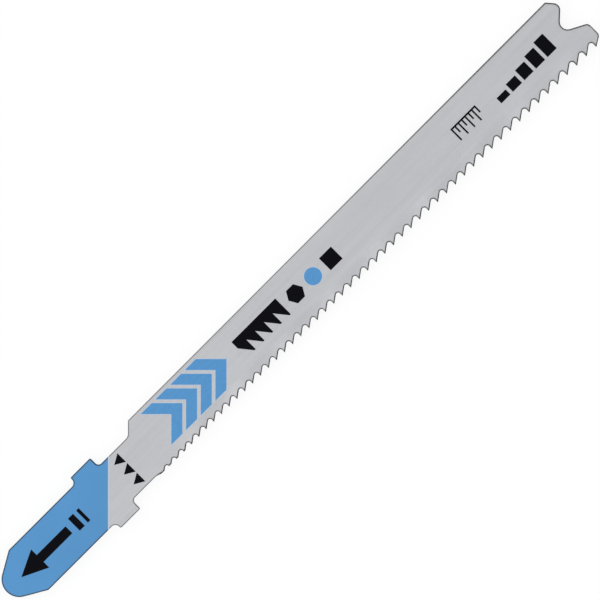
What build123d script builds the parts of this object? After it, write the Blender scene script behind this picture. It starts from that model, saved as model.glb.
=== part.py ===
from build123d import *

import math
import os

# Jigsaw blade for metal, one strip of high-speed steel with a T-shank.
# The blade lies flat: +X runs from the shank to the front end, +Y points to the plain back edge,
# -Y to the teeth, and Z is the thickness. The origin is on the shank's centreline, on the underside,
# in line with the front face of the shank's lugs, which is the face that the saw's clamp locates.
# All sizes are millimetres and degrees.

# Stock
thickness = 1.0
edge_break = 0.09

# Shank: tang, rounded nose, two lugs and the neck in front of them
shank_length = 17.34
tang_width = 6.35
nose_radius = 2.0
nose_half_angle = 30.0
nose_corner_radius = 0.4
lug_step = 0.85
lug_length = 3.13
lug_corner_radius = 0.15
lug_rear_radius = 0.6
lug_front_radius = 0.5
neck_width = 5.4
neck_length = 4.75
neck_blend_length = 0.7
neck_blend_radius = 1.5

# Blade body, from the lugs' front face to the front end. The back edge leans out a little towards the front.
reach = 74.65
back_offset_rear = 4.01
back_offset_front = 4.09
shoulder_angle = 45.0
shoulder_root_radius = 0.9
shoulder_corner_radius = 0.2

# Tooth row: the tips stand on a line that leans away from the back edge towards the front
first_tip_x = 4.53
last_tip_inset = 1.21
tip_offset_rear = 2.92
tip_offset_front = 3.57
pitch_rear = 1.16
pitch_front = 1.54
tooth_back_angle = 36.5
gullet_radius_per_pitch = 0.213
lead_in_gullets = 6

# Front end: a rounded horn that starts at a corner of the back edge, a notch, and a blunt lower corner
# above the last tooth
horn_inset = 1.8
horn_corner_radius = 0.15
horn_end_angle = 49.0
horn_radius = 0.8
horn_flank_angle = 42.8
notch_radius = 0.88
notch_inset = 3.03
notch_offset = 0.55
lower_flank_angle = 27.7
front_corner_radius = 0.6
heel_angle = 32.0

# Wavy set: the tooth strip swings to one side and the other along the blade
set_swing = 0.2
set_wave_length = 7.5
set_height = 1.45


def tip_offset(x):
    """Distance of the tooth tips from the centreline at x."""
    along = (x - first_tip_x) / (reach - last_tip_inset - first_tip_x)
    return tip_offset_rear + (tip_offset_front - tip_offset_rear) * along


def tip_positions():
    """X of every tooth tip: the pitch grows evenly from the rear to the front."""
    toothed_length = reach - last_tip_inset - first_tip_x
    gullets = round(2 * toothed_length / (pitch_rear + pitch_front))
    growth = (pitch_front - pitch_rear) / (pitch_front + pitch_rear)
    shares = [index / gullets for index in range(gullets + 1)]
    return [first_tip_x + toothed_length * ((1 - growth) * s + growth * s * s) for s in shares]


def gullet(rear_x, front_x, cut_share):
    """Edges of one gullet: the back of the tooth behind, a round bottom, the upright face of the tooth ahead.

    At full cut the back slopes up from the tip behind. At less, the same cutter stands further out,
    so that a land is left beside that tip.
    """
    slope = math.radians(tooth_back_angle)
    pitch = front_x - rear_x
    radius = gullet_radius_per_pitch * pitch
    tangency = radius * (1 + math.sin(slope) - math.cos(slope))
    full_depth = (pitch * math.sin(slope) - tangency) / math.cos(slope)
    depth = radius + (full_depth - radius) * cut_share
    rear_tip = (rear_x, -tip_offset(rear_x))
    front_tip = (front_x, -tip_offset(front_x))
    centre_x = front_x - radius
    centre_y = front_tip[1] + depth - radius
    back_top = (centre_x - radius * math.sin(slope), centre_y + radius * math.cos(slope))
    face_top = (front_x, centre_y)
    middle_angle = (math.radians(90) + slope) / 2
    middle = (centre_x + radius * math.cos(middle_angle), centre_y + radius * math.sin(middle_angle))
    if cut_share < 1:
        land_end = (back_top[0] - (back_top[1] - front_tip[1]) / math.tan(slope), front_tip[1])
        Line(rear_tip, land_end)
        Line(land_end, back_top)
    else:
        Line(rear_tip, back_top)
    ThreePointArc(back_top, middle, face_top)
    Line(face_top, front_tip)


def tooth_row(tips):
    """Edges of all gullets. The first ones run out shallow, where the cutter lifts off at the neck."""
    for index, (rear_x, front_x) in enumerate(zip(tips, tips[1:])):
        gullet(rear_x, front_x, min(1.0, (index + 1) / (lead_in_gullets + 1)))


def nose_apex_x():
    """Where the two nose tapers would meet, so that the rounded nose ends at the shank's full length."""
    half_angle = math.radians(nose_half_angle)
    return nose_radius - shank_length - nose_radius / math.sin(half_angle)


def shank_corners():
    """Corners of the shank's upper half, from the neck back to the nose taper, each with its radius."""
    lug_offset = tang_width / 2 + lug_step
    taper_run = (tang_width / 2) / math.tan(math.radians(nose_half_angle))
    return [
        (0, neck_width / 2, lug_front_radius),
        (0, lug_offset, lug_corner_radius),
        (-lug_length, lug_offset, lug_corner_radius),
        (-lug_length, tang_width / 2, lug_rear_radius),
        (nose_apex_x() + taper_run, tang_width / 2, nose_corner_radius),
    ]


def front_corners():
    """Corners of the front end, from the back edge round to the last tooth's heel, each with its radius."""
    horn_x = reach - horn_inset
    notch_x = reach - notch_inset
    end_slope = math.tan(math.radians(horn_end_angle))
    flank_slope = math.tan(math.radians(horn_flank_angle))
    rise = back_offset_front - notch_offset + end_slope * horn_x + flank_slope * notch_x
    horn_tip_x = rise / (end_slope + flank_slope)
    horn_tip_y = notch_offset + flank_slope * (horn_tip_x - notch_x)
    lower_y = notch_offset - notch_inset * math.tan(math.radians(lower_flank_angle))
    heel_y = last_tip_inset * math.tan(math.radians(heel_angle)) - tip_offset_front
    return [
        (horn_x, back_offset_front, horn_corner_radius),
        (horn_tip_x, horn_tip_y, horn_radius),
        (notch_x, notch_offset, notch_radius),
        (reach, lower_y, front_corner_radius),
        (reach, heel_y, front_corner_radius),
    ]


def plain_corners():
    """All corners with a radius, from the first tooth round the shank and the back edge to the last tooth."""
    upper_shank = shank_corners()
    lower_shank = [(x, -y, radius) for x, y, radius in upper_shank]
    shoulder_run = (back_offset_rear - neck_width / 2) / math.tan(math.radians(shoulder_angle))
    corners = [(first_tip_x - neck_blend_length, -neck_width / 2, neck_blend_radius)]
    corners += lower_shank
    corners += [(nose_apex_x(), 0, nose_radius)]
    corners += reversed(upper_shank)
    corners += [
        (neck_length, neck_width / 2, shoulder_root_radius),
        (neck_length + shoulder_run, back_offset_rear, shoulder_corner_radius),
    ]
    corners += front_corners()
    return corners


def limited_radii(points, radii):
    """Each corner's radius, made smaller where a side is too short for the rounding at both its ends."""
    runs = []
    for before, corner, after, radius in zip(points, points[1:], points[2:], radii):
        turn = Vector(*corner).sub(Vector(*before)).get_angle(Vector(*after).sub(Vector(*corner)))
        runs.append(radius * math.tan(math.radians(turn) / 2))
    runs = [0] + runs + [0]
    shares = [1.0] * len(points)
    for side in range(len(points) - 1):
        room = math.dist(points[side], points[side + 1])
        share = min(1.0, room / (runs[side] + runs[side + 1]))
        shares[side] = min(shares[side], share)
        shares[side + 1] = min(shares[side + 1], share)
    return [radius * share for radius, share in zip(radii, shares[1:])]


def outline(toothed):
    """Plan of the blade as a face, with its teeth or with a straight edge along the tooth tips."""
    tips = tip_positions()
    first_tip = (tips[0], -tip_offset(tips[0]))
    last_tip = (tips[-1], -tip_offset(tips[-1]))
    corners = plain_corners()
    points = [first_tip] + [(x, y) for x, y, radius in corners] + [last_tip]
    with BuildSketch() as plan:
        with BuildLine():
            FilletPolyline(*points, radius=limited_radii(points, [radius for x, y, radius in corners]))
            if toothed:
                tooth_row(tips)
            else:
                Line(last_tip, first_tip)
        make_face()
    return plan.sketch


def set_zone():
    """Sides of the strip that is set: rear, front, the set line and a line just outside the tooth tips."""
    set_y = set_height - tip_offset_rear
    outer_y = -(tip_offset_front + thickness)
    return first_tip_x, reach + thickness, set_y, outer_y


def flat_plate():
    """The blade without its set strip: blanked from flat stock, with the edges of both faces broken."""
    blank = extrude(outline(toothed=False), thickness)
    blank = chamfer(blank.faces().filter_by(Axis.Z).edges(), edge_break)
    rear_x, front_x, set_y, outer_y = set_zone()
    zone = Box(front_x - rear_x, set_y - outer_y, 3 * thickness)
    return blank - Pos((rear_x + front_x) / 2, (set_y + outer_y) / 2, 0) * zone


def swing_point(x, y):
    """Point of the underside's wave at x on the line y, with the wave's direction there.

    The swing grows in proportion to the distance from the set line, up to its full size at the tooth tips,
    and from nothing over the first wave, which goes to the underside first.
    """
    rear_x, front_x, set_y, outer_y = set_zone()
    lean = -set_swing * (set_y - y) / (set_y + tip_offset(x))
    phase = (x - rear_x) / set_wave_length
    fade = min(1.0, phase)
    angle = 2 * math.pi * phase
    height = lean * fade * math.sin(angle)
    fade_slope = math.sin(angle) if phase < 1 else 0
    slope = lean * (fade_slope + fade * 2 * math.pi * math.cos(angle)) / set_wave_length
    return Vector(x, y, height), Vector(1, 0, slope)


def set_cell(rear_x, front_x, set_y, outer_y):
    """Stock for one tooth: straight along the set line, and following the wave outside the tips."""
    rear, rear_direction = swing_point(rear_x, outer_y)
    middle, middle_direction = swing_point((rear_x + front_x) / 2, outer_y)
    front, front_direction = swing_point(front_x, outer_y)
    set_edge = Edge.make_line((rear_x, set_y, 0), (front_x, set_y, 0))
    wave_edge = Edge.make_spline([rear, middle, front], tangents=[rear_direction, front_direction])
    return extrude(Face.make_surface_from_curves(set_edge, wave_edge), thickness, dir=(0, 0, 1))


def wavy_strip():
    """The tooth strip: one cell of wavy stock for each tooth, cut to the toothed plan."""
    rear_x, front_x, set_y, outer_y = set_zone()
    tips = tip_positions()
    joints = [rear_x] + [(rear + front) / 2 for rear, front in zip(tips, tips[1:])] + [front_x]
    cells = [set_cell(rear, front, set_y, outer_y) for rear, front in zip(joints, joints[1:])]
    stock = cells[0] + cells[1:]
    plan = Pos(0, 0, -thickness) * extrude(outline(toothed=True), 3 * thickness)
    return stock & plan


def blade():
    return flat_plate() + wavy_strip()


os.makedirs("parts", exist_ok=True)
export_step(blade(), "parts/blade.step")
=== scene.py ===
import math

import bmesh
import bpy
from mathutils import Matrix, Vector


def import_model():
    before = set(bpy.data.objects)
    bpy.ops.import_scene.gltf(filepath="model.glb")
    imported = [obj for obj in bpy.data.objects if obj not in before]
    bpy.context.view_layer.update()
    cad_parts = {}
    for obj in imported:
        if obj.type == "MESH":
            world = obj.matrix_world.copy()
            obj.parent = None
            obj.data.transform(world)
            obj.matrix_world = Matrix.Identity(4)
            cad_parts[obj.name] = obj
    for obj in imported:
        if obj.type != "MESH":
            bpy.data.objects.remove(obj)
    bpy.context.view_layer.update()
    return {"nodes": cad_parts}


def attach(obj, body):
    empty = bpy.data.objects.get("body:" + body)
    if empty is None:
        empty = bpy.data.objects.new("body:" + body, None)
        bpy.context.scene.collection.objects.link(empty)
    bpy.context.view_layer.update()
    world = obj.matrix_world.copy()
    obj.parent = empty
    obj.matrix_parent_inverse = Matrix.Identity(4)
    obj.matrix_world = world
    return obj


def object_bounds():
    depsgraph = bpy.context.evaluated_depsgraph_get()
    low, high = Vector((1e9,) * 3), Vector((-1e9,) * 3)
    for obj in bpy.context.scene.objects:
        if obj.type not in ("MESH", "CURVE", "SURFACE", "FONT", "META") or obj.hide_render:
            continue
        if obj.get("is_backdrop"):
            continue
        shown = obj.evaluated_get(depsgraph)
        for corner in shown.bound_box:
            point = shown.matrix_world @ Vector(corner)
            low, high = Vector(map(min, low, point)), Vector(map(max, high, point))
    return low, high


# Looks of the jigsaw blade. The CAD frame is in metres: +X runs to the front end, +Y to the back edge,
# -Y to the teeth and Z is the thickness. Lengths below are in millimetres, which metres() and point()
# convert, apart from the studio's, which are in metres.

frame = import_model()
blade = frame["nodes"]["blade"]

# Height of the upper face, and thickness of what lies on it
top = 1.0
coat_thickness = 0.012
ink_thickness = 0.01
underprint_thickness = 0.005
underprint_border = 0.09

# Colours
steel_colour = (0.496, 0.501, 0.52)
# Painted shade on the steel: the colour of its dark outline along the edges and of its darker walls
painted_edge_shade_colour = (0.02, 0.02, 0.023)
# Painted shade on the lacquer: the colour of its dark outline along the edges and of its darker walls
painted_lacquer_shade_colour = (0.008, 0.02, 0.045)
lacquer_colour = (0.092, 0.323, 0.654)
pale_colour = (0.57, 0.65, 0.77)
black_colour = (0.002, 0.002, 0.004)
blue_ink_colour = (0.112, 0.343, 0.672)

# The lacquer ends on a 45 degree slant that crosses the centreline at field_end, in a pale line
field_end = -1.15
pale_line_width = 0.15
pale_line_blur = 0.01
coat_sharp_angle = 30.0

# Widths of the painted shade lines, a dark outline painted along the edges of the faces. The steel's line
# is wide along the tooth row, below the set line and in front of the neck, and it also grows towards the
# front end.
shade_line_width = 0.14
tooth_shade_line_width = 0.35
lacquer_shade_line_width = 0.2
set_line = -1.47
row_start = 4.4
row_fade = 0.5
front_fade_start = 35.0
front_fade_end = 62.0
front_strength = 0.85

# Where the painted shade starts and where it is full: on walls and broken edges by the upright share of
# their normal, and in the lines by how far the rounded normal turns
wall_range = (0.6, 0.3)
broken_edge_range = (0.97, 0.8)
line_range = (0.995, 0.95)
bevel_samples = 8

# Most of a noise's values lie within this of its middle, 0.5
grain_spread = 0.2
cloud_spread = 0.15

# Print: the pointers fill a band, and most other marks follow a narrower line
band_low = -1.4
band_high = 3.5
line_low = -0.5
line_high = 2.0
line_middle = (line_low + line_high) / 2
coat_top = top + coat_thickness
arrow_bar_height = 1.9
neck_mark_spacing = 1.55
pointer_start = 7.6
pointer_pitch = 2.35
pointer_count = 4
square_side = 1.9
step_start = 61.3
step_pitch = 1.85
step_height = 0.8
step_growth = 0.38
step_count = 5

# View of the photograph
view_centre = (29.46, -0.11)
view_width = 67.87
view_turn = -45.0
lens = 400.0
sensor = 36.0

# Studio, in metres and watts
floor_half_side = 1.5
floor_gap = 0.00001
floor_grey = 0.15
floor_glow = 0.875
world_light = 0.776
lamp_offset = (-0.35, 0.3, 0.5)
lamp_size = 0.75
lamp_power = 0.8
clip_start = 0.01


def metres(length):
    return length / 1000


def point(*values):
    return Vector([metres(value) for value in values])


def rgba(colour):
    return (*colour, 1.0)


def grey(level):
    return rgba((level, level, level))


def shades(colour, depth):
    """The colour made darker and lighter by the depth."""
    return [rgba([channel * share for channel in colour]) for share in (1 - depth, 1 + depth)]


# Node materials


class Nodes:
    """Short calls to build the nodes of one material or world."""

    def __init__(self, owner, output_kind="ShaderNodeOutputMaterial"):
        self.owner = owner
        owner.use_nodes = True
        self.tree = owner.node_tree
        self.tree.nodes.clear()
        self.output = self.add(output_kind)

    def add(self, kind, **settings):
        node = self.tree.nodes.new(kind)
        for key, value in settings.items():
            setattr(node, key, value)
        return node

    def link(self, source, target):
        self.tree.links.new(source, target)

    def place(self, value, socket):
        """Link the value if it is another node's output, or else set it."""
        if hasattr(value, "is_linked"):
            self.link(value, socket)
        else:
            socket.default_value = value

    def math(self, operation, first, second=0.0):
        node = self.add("ShaderNodeMath", operation=operation)
        self.place(first, node.inputs[0])
        self.place(second, node.inputs[1])
        return node.outputs[0]

    def span(self, value, low, high, to_low=0.0, to_high=1.0):
        """Turn the range from low to high into to_low to to_high, and hold it at both ends."""
        node = self.add("ShaderNodeMapRange")
        for given, socket in zip((value, low, high, to_low, to_high), node.inputs):
            self.place(given, socket)
        return node.outputs[0]

    def vary(self, noise, spread, middle, depth):
        """Turn a noise's spread about its middle into the depth about another middle."""
        return self.span(noise, 0.5 - spread, 0.5 + spread, middle - depth, middle + depth)

    def mix(self, share, first, second):
        node = self.add("ShaderNodeMix", data_type="RGBA")
        colours_in = [socket for socket in node.inputs if socket.type == "RGBA"]
        self.place(share, node.inputs[0])
        self.place(first, colours_in[0])
        self.place(second, colours_in[1])
        return next(socket for socket in node.outputs if socket.type == "RGBA")

    def position(self):
        return self.add("ShaderNodeTexCoord").outputs["Object"]

    def separate(self, vector):
        node = self.add("ShaderNodeSeparateXYZ")
        self.link(vector, node.inputs[0])
        return node.outputs

    def noise(self, position, scale, detail, roughness):
        """Noise with its own scale along each axis, in turns per metre."""
        scaled = self.add("ShaderNodeVectorMath", operation="MULTIPLY")
        self.link(position, scaled.inputs[0])
        scaled.inputs[1].default_value = scale
        node = self.add("ShaderNodeTexNoise")
        self.link(scaled.outputs[0], node.inputs["Vector"])
        node.inputs["Scale"].default_value = 1.0
        node.inputs["Detail"].default_value = detail
        node.inputs["Roughness"].default_value = roughness
        return node.outputs["Fac"]

    def bump(self, height, strength, distance):
        node = self.add("ShaderNodeBump")
        node.inputs["Strength"].default_value = strength
        node.inputs["Distance"].default_value = distance
        self.link(height, node.inputs["Height"])
        return node.outputs["Normal"]

    def background_rays(self):
        """1 for rays that show the background: straight to the camera, by a reflection or through glass."""
        rays = self.add("ShaderNodeLightPath")
        seen = self.math("MAXIMUM", rays.outputs["Is Camera Ray"], rays.outputs["Is Glossy Ray"])
        return self.math("MAXIMUM", seen, rays.outputs["Is Transmission Ray"])

    def surface(self, shader):
        self.link(shader.outputs[0], self.output.inputs["Surface"])
        return self.owner

    def principled(self, **sockets):
        shader = self.add("ShaderNodeBsdfPrincipled")
        for key, value in sockets.items():
            self.place(value, shader.inputs[key.replace("_", " ")])
        return self.surface(shader)


def painted_shade_mask(n, line_width, edge_shade_share, wall_shade_share):
    """How much painted shade the surface gets: a dark outline painted along its edges, and darker walls.

    Broken edges and a line on the faces beside them get the edge share, and the walls get the wall share.
    """
    normal = n.add("ShaderNodeNewGeometry").outputs["True Normal"]
    upright = n.math("ABSOLUTE", n.separate(normal)["Z"])
    wall = n.span(upright, *wall_range)
    broken = n.span(upright, *broken_edge_range)
    bevel = n.add("ShaderNodeBevel", samples=bevel_samples)
    n.place(line_width, bevel.inputs["Radius"])
    bend = n.add("ShaderNodeVectorMath", operation="DOT_PRODUCT")
    n.link(bevel.outputs[0], bend.inputs[0])
    n.link(normal, bend.inputs[1])
    line = n.span(bend.outputs["Value"], *line_range)
    edge = n.math("MULTIPLY", n.math("MAXIMUM", broken, line), edge_shade_share)
    on_face = n.math("MULTIPLY", edge, n.math("SUBTRACT", 1.0, wall))
    return n.math("ADD", on_face, n.math("MULTIPLY", wall, wall_shade_share))


def shade_line_strength(n, position):
    """How far the steel's painted shade line has grown: 1 along the tooth row, and part of that at the
    front end.
    """
    place = n.separate(position)
    below_set = n.span(place["Y"], metres(set_line), metres(set_line - row_fade))
    past_neck = n.span(place["X"], metres(row_start - row_fade), metres(row_start))
    at_teeth = n.math("MULTIPLY", below_set, past_neck)
    at_front = n.span(place["X"], metres(front_fade_start), metres(front_fade_end), 0.0, front_strength)
    return n.math("MAXIMUM", at_teeth, at_front)


def steel_material():
    """Satin steel strip with fine grinding lines along it, and painted shade on the cut sides and along the
    edges.
    """
    n = Nodes(bpy.data.materials.new("satin_steel"))
    position = n.position()
    streaks = n.noise(position, scale=(60.0, 2400.0, 2400.0), detail=4.0, roughness=0.6)
    grit = n.noise(position, scale=(2600.0, 5200.0, 5200.0), detail=2.0, roughness=0.5)
    clouds = n.noise(position, scale=(90.0, 140.0, 140.0), detail=3.0, roughness=0.5)
    streak_depth = 0.045
    cloud_depth = 0.025
    grit_depth = 0.02
    full_depth = streak_depth + cloud_depth + grit_depth
    tone = n.math(
        "ADD",
        n.vary(streaks, grain_spread, 0.0, streak_depth),
        n.vary(clouds, cloud_spread, 0.0, cloud_depth),
    )
    tone = n.math("ADD", tone, n.vary(grit, grain_spread, 0.0, grit_depth))
    steel_tone = n.mix(n.span(tone, -full_depth, full_depth), *shades(steel_colour, 0.08))
    # Painted shade: a dark outline along the edges, wider along the tooth row and towards the front, and
    # darker walls
    strength = shade_line_strength(n, position)
    painted_shade = painted_shade_mask(
        n,
        line_width=n.span(strength, 0.0, 1.0, metres(shade_line_width), metres(tooth_shade_line_width)),
        edge_shade_share=n.span(strength, 0.0, 1.0, 0.68, 1.0),
        wall_shade_share=0.4,
    )
    roughness = n.math(
        "ADD",
        n.vary(streaks, grain_spread, middle=0.41, depth=0.05),
        n.vary(grit, grain_spread, middle=0.0, depth=0.03),
    )
    height = n.math("ADD", n.math("MULTIPLY", streaks, 0.7), n.math("MULTIPLY", grit, 0.3))
    return n.principled(
        Base_Color=n.mix(painted_shade, steel_tone, rgba(painted_edge_shade_colour)),
        Metallic=1.0,
        Roughness=roughness,
        Normal=n.bump(height, strength=0.25, distance=metres(0.004)),
    )


def lacquer_material():
    """Blue lacquer with a slight orange peel, painted shade along the edges, and pale where the coat ends.
    """
    n = Nodes(bpy.data.materials.new("blue_lacquer"))
    position = n.position()
    place = n.separate(position)
    along_slant = n.math("SUBTRACT", place["X"], place["Y"])
    at_end = n.span(along_slant, metres(field_end - pale_line_blur), metres(field_end + pale_line_blur))
    peel = n.noise(position, scale=(900.0, 900.0, 900.0), detail=2.0, roughness=0.5)
    clouds = n.noise(position, scale=(160.0, 160.0, 160.0), detail=2.0, roughness=0.5)
    blue_tone = n.mix(n.vary(clouds, cloud_spread, middle=0.5, depth=0.5), *shades(lacquer_colour, 0.03))
    # Painted shade: a dark outline along the coat's edges, and darker walls
    painted_shade = painted_shade_mask(n, line_width=metres(lacquer_shade_line_width), edge_shade_share=1.0, wall_shade_share=0.3)
    blue_with_painted_shade = n.mix(painted_shade, blue_tone, rgba(painted_lacquer_shade_colour))
    return n.principled(
        Base_Color=n.mix(at_end, blue_with_painted_shade, rgba(pale_colour)),
        Roughness=n.vary(peel, grain_spread, middle=0.35, depth=0.05),
        Specular_IOR_Level=0.35,
        Normal=n.bump(peel, strength=0.15, distance=metres(0.01)),
    )


def ink_material(name, colour):
    """Printed ink: matt, with a faint mottle where it sits on the steel's grain."""
    n = Nodes(bpy.data.materials.new(name))
    mottle = n.noise(n.position(), scale=(1500.0, 3000.0, 3000.0), detail=2.0, roughness=0.5)
    return n.principled(
        Base_Color=n.mix(n.vary(mottle, grain_spread, middle=0.5, depth=0.5), *shades(colour, 0.04)),
        Roughness=n.vary(mottle, grain_spread, middle=0.5, depth=0.05),
        Specular_IOR_Level=0.05,
        Normal=n.bump(mottle, strength=0.1, distance=metres(0.004)),
    )


# Objects and pieces


def add_object(name, data):
    made = bpy.data.objects.new(name, data)
    bpy.context.scene.collection.objects.link(made)
    return made


def mesh_object(name, source, material):
    """Object from a bmesh, which is freed, with one material and without the CAD's own normals."""
    mesh = bpy.data.meshes.new(name)
    source.to_mesh(mesh)
    source.free()
    if "custom_normal" in mesh.attributes:
        mesh.attributes.remove(mesh.attributes["custom_normal"])
    mesh.materials.append(material)
    return add_object(name, mesh)


def add_piece(name, source, material):
    piece = mesh_object(name, source, material)
    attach(piece, "root")
    return piece


def lacquer_coat():
    """The dipped coat: the shank's own surface, a little proud of it, cut at the field's slanted end."""
    coat = bmesh.new()
    coat.from_mesh(blade.data)
    bmesh.ops.remove_doubles(coat, verts=coat.verts, dist=metres(0.001))
    bmesh.ops.bisect_plane(
        coat,
        geom=coat.verts[:] + coat.edges[:] + coat.faces[:],
        plane_co=point(field_end + pale_line_width * math.sqrt(2), 0, 0),
        plane_no=(math.sqrt(0.5), -math.sqrt(0.5), 0),
        clear_outer=True,
    )
    bmesh.ops.recalc_face_normals(coat, faces=coat.faces)
    coat.normal_update()
    moves = [vertex.normal * metres(coat_thickness) for vertex in coat.verts]
    for vertex, move in zip(coat.verts, moves):
        vertex.co += move
    bmesh.ops.holes_fill(coat, edges=[edge for edge in coat.edges if edge.is_boundary])
    return coat


def ink(name, shapes, material, ground=top, thickness=ink_thickness):
    """Flat printed shapes, sunk a little into the ground, each given by its corners, counter-clockwise."""
    printed = bmesh.new()
    for shape in shapes:
        low = [printed.verts.new(point(x, y, ground - thickness / 2)) for x, y in shape]
        high = [printed.verts.new(point(x, y, ground + thickness)) for x, y in shape]
        printed.faces.new(high)
        printed.faces.new(low[::-1])
        for index in range(len(shape)):
            following = (index + 1) % len(shape)
            printed.faces.new((low[index], low[following], high[following], high[index]))
    add_piece(name, printed, material)


def grown(shape, border):
    """The same shape with each side moved out by the border and mitred corners."""
    corners = [Vector(corner) for corner in shape]
    moved = []
    for before, corner, after in zip(corners[-1:] + corners[:-1], corners, corners[1:] + corners[:1]):
        arriving = (corner - before).normalized()
        leaving = (after - corner).normalized()
        first = Vector((arriving.y, -arriving.x))
        second = Vector((leaving.y, -leaving.x))
        mitre = (first + second) / (1 + first.dot(second))
        moved.append(tuple(corner + mitre * border))
    return moved


def blue_print(name, shapes):
    """Blue ink on a pale underprint that shows as a thin border."""
    borders = [grown(shape, underprint_border) for shape in shapes]
    ink(name, shapes, blue)
    ink(name + "_border", borders, pale, thickness=underprint_thickness)


# Shapes of the print


def chevron(x, width, low, high):
    """Band with both ends pointing to the front."""
    reach = (high - low) / 2
    middle = (low + high) / 2
    return [
        (x, low),
        (x + width, low),
        (x + width + reach, middle),
        (x + width, high),
        (x, high),
        (x + reach, middle),
    ]


def regular(x, y, radius, sides, turn=0.0):
    angles = [math.radians(turn) + 2 * math.pi * index / sides for index in range(sides)]
    return [(x + radius * math.cos(angle), y + radius * math.sin(angle)) for angle in angles]


def bar(x, y, length, height):
    return [(x, y), (x + length, y), (x + length, y + height), (x, y + height)]


def saw_strip(x, low, high, pitch, teeth, band, back_share):
    """Band along the top with teeth below it, whose sloping backs take a share of the pitch."""
    points = [(x, high)]
    root = high - band
    for index in range(teeth):
        rear = x + index * pitch
        points += [(rear, root), (rear + pitch * back_share, low), (rear + pitch, low)]
    points.append((x + teeth * pitch, high))
    return points


def comb(x, high, band, pitch, width, lengths):
    """Band along the top with upright ticks of the given lengths below it."""
    points = [(x, high)]
    root = high - band
    for index, length in enumerate(lengths):
        rear = x + index * pitch
        front = rear + width
        points += [(rear, root), (rear, high - length), (front, high - length), (front, root)]
    points.append((front, high))
    return points


def arrow(tip_x, length, head_length, head_width, shaft_width):
    """Arrow along the centreline that points to the rear."""
    head_x = tip_x + head_length
    end_x = tip_x + length
    return [
        (tip_x, 0),
        (head_x, -head_width / 2),
        (head_x, -shaft_width / 2),
        (end_x, -shaft_width / 2),
        (end_x, shaft_width / 2),
        (head_x, shaft_width / 2),
        (head_x, head_width / 2),
    ]


steel = steel_material()
lacquer = lacquer_material()
black = ink_material("black_ink", black_colour)
blue = ink_material("blue_ink", blue_ink_colour)
pale = ink_material("pale_underprint", pale_colour)

blade.data.materials.clear()
blade.data.materials.append(steel)
coat = add_piece("shank_coat", lacquer_coat(), lacquer)
coat.data.shade_smooth()
coat.data.set_sharp_from_angle(angle=math.radians(coat_sharp_angle))

# The print's shapes, from rear to front
insert_arrow = [
    arrow(tip_x=-15.0, length=7.6, head_length=3.0, head_width=2.9, shaft_width=1.1),
    bar(x=-6.6, y=-arrow_bar_height / 2, length=0.8, height=arrow_bar_height),
    bar(x=-5.3, y=-arrow_bar_height / 2, length=0.4, height=arrow_bar_height),
]
neck_marks = [
    regular(x=2.2, y=neck_mark_spacing * place, radius=0.8, sides=3, turn=180.0) for place in (-1, 0, 1)
]
pointers = [
    chevron(x=pointer_start + pointer_pitch * index, width=1.75, low=band_low, high=band_high)
    for index in range(pointer_count)
]
saw_mark = saw_strip(x=20.6, low=line_low, high=line_high, pitch=1.4, teeth=5, band=1.0, back_share=0.86)
hexagon = regular(x=29.6, y=line_middle, radius=1.12, sides=6)
disc = regular(x=32.4, y=line_middle, radius=1.02, sides=48)
square = bar(x=34.3, y=line_middle - square_side / 2, length=square_side, height=square_side)
ticks = comb(x=55.1, high=1.52, band=0.22, pitch=0.53, width=0.2, lengths=[1.77, 1.02] * 4)
steps = [
    bar(
        x=step_start + step_pitch * index,
        y=line_low,
        length=1.45,
        height=step_height + step_growth * index,
    )
    for index in range(step_count)
]

ink("insert_arrow", insert_arrow, black, ground=coat_top)
ink("neck_marks", neck_marks, black)
blue_print("front_pointers", pointers)
ink("saw_mark", [saw_mark], black)
ink("bar_sections", [hexagon, square], black)
blue_print("round_section", [disc])
ink("tick_scale", [ticks], black)
ink("steps", steps, black)

# Floor, light and camera


def floor():
    """Floor that keeps the shadow, with a glow of its own that makes it a white background."""
    n = Nodes(bpy.data.materials.new("white_floor"))
    diffuse = n.add("ShaderNodeBsdfDiffuse")
    diffuse.inputs["Color"].default_value = grey(floor_grey)
    glow = n.add("ShaderNodeEmission")
    n.link(n.math("MULTIPLY", n.background_rays(), floor_glow), glow.inputs["Strength"])
    both = n.add("ShaderNodeAddShader")
    n.link(diffuse.outputs[0], both.inputs[0])
    n.link(glow.outputs[0], both.inputs[1])
    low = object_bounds()[0][2]
    sheet = bmesh.new()
    bmesh.ops.create_grid(sheet, x_segments=1, y_segments=1, size=floor_half_side)
    piece = mesh_object("floor", sheet, n.surface(both))
    piece.location = point(*view_centre, 0) + Vector((0, 0, low - floor_gap))
    piece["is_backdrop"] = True


def world():
    """Even light all round, white where the camera and reflections show it."""
    n = Nodes(bpy.data.worlds.new("studio"), "ShaderNodeOutputWorld")
    background = n.add("ShaderNodeBackground")
    background.inputs["Color"].default_value = grey(1.0)
    n.link(n.span(n.background_rays(), 0.0, 1.0, world_light, 1.0), background.inputs["Strength"])
    bpy.context.scene.world = n.surface(background)


def key_lamp():
    light = bpy.data.lights.new("key", "AREA")
    light.shape = "SQUARE"
    light.size = lamp_size
    light.energy = lamp_power
    lamp = add_object("key", light)
    centre = point(*view_centre, 0)
    lamp.location = centre + Vector(lamp_offset)
    lamp.rotation_euler = (centre - lamp.location).to_track_quat("-Z", "Y").to_euler()


def camera():
    """Camera straight above the blade, as far off as the long lens needs for the view's width."""
    made = bpy.data.cameras.new("camera")
    made.type = "PERSP"
    made.lens = lens
    made.sensor_width = sensor
    made.clip_start = clip_start
    holder = add_object("camera", made)
    distance = lens / sensor * view_width
    holder.location = point(*view_centre, top + distance)
    holder.rotation_euler = (0, 0, math.radians(view_turn))
    bpy.context.scene.camera = holder


floor()
world()
key_lamp()
camera()
bpy.context.scene.view_settings.view_transform = "Standard"
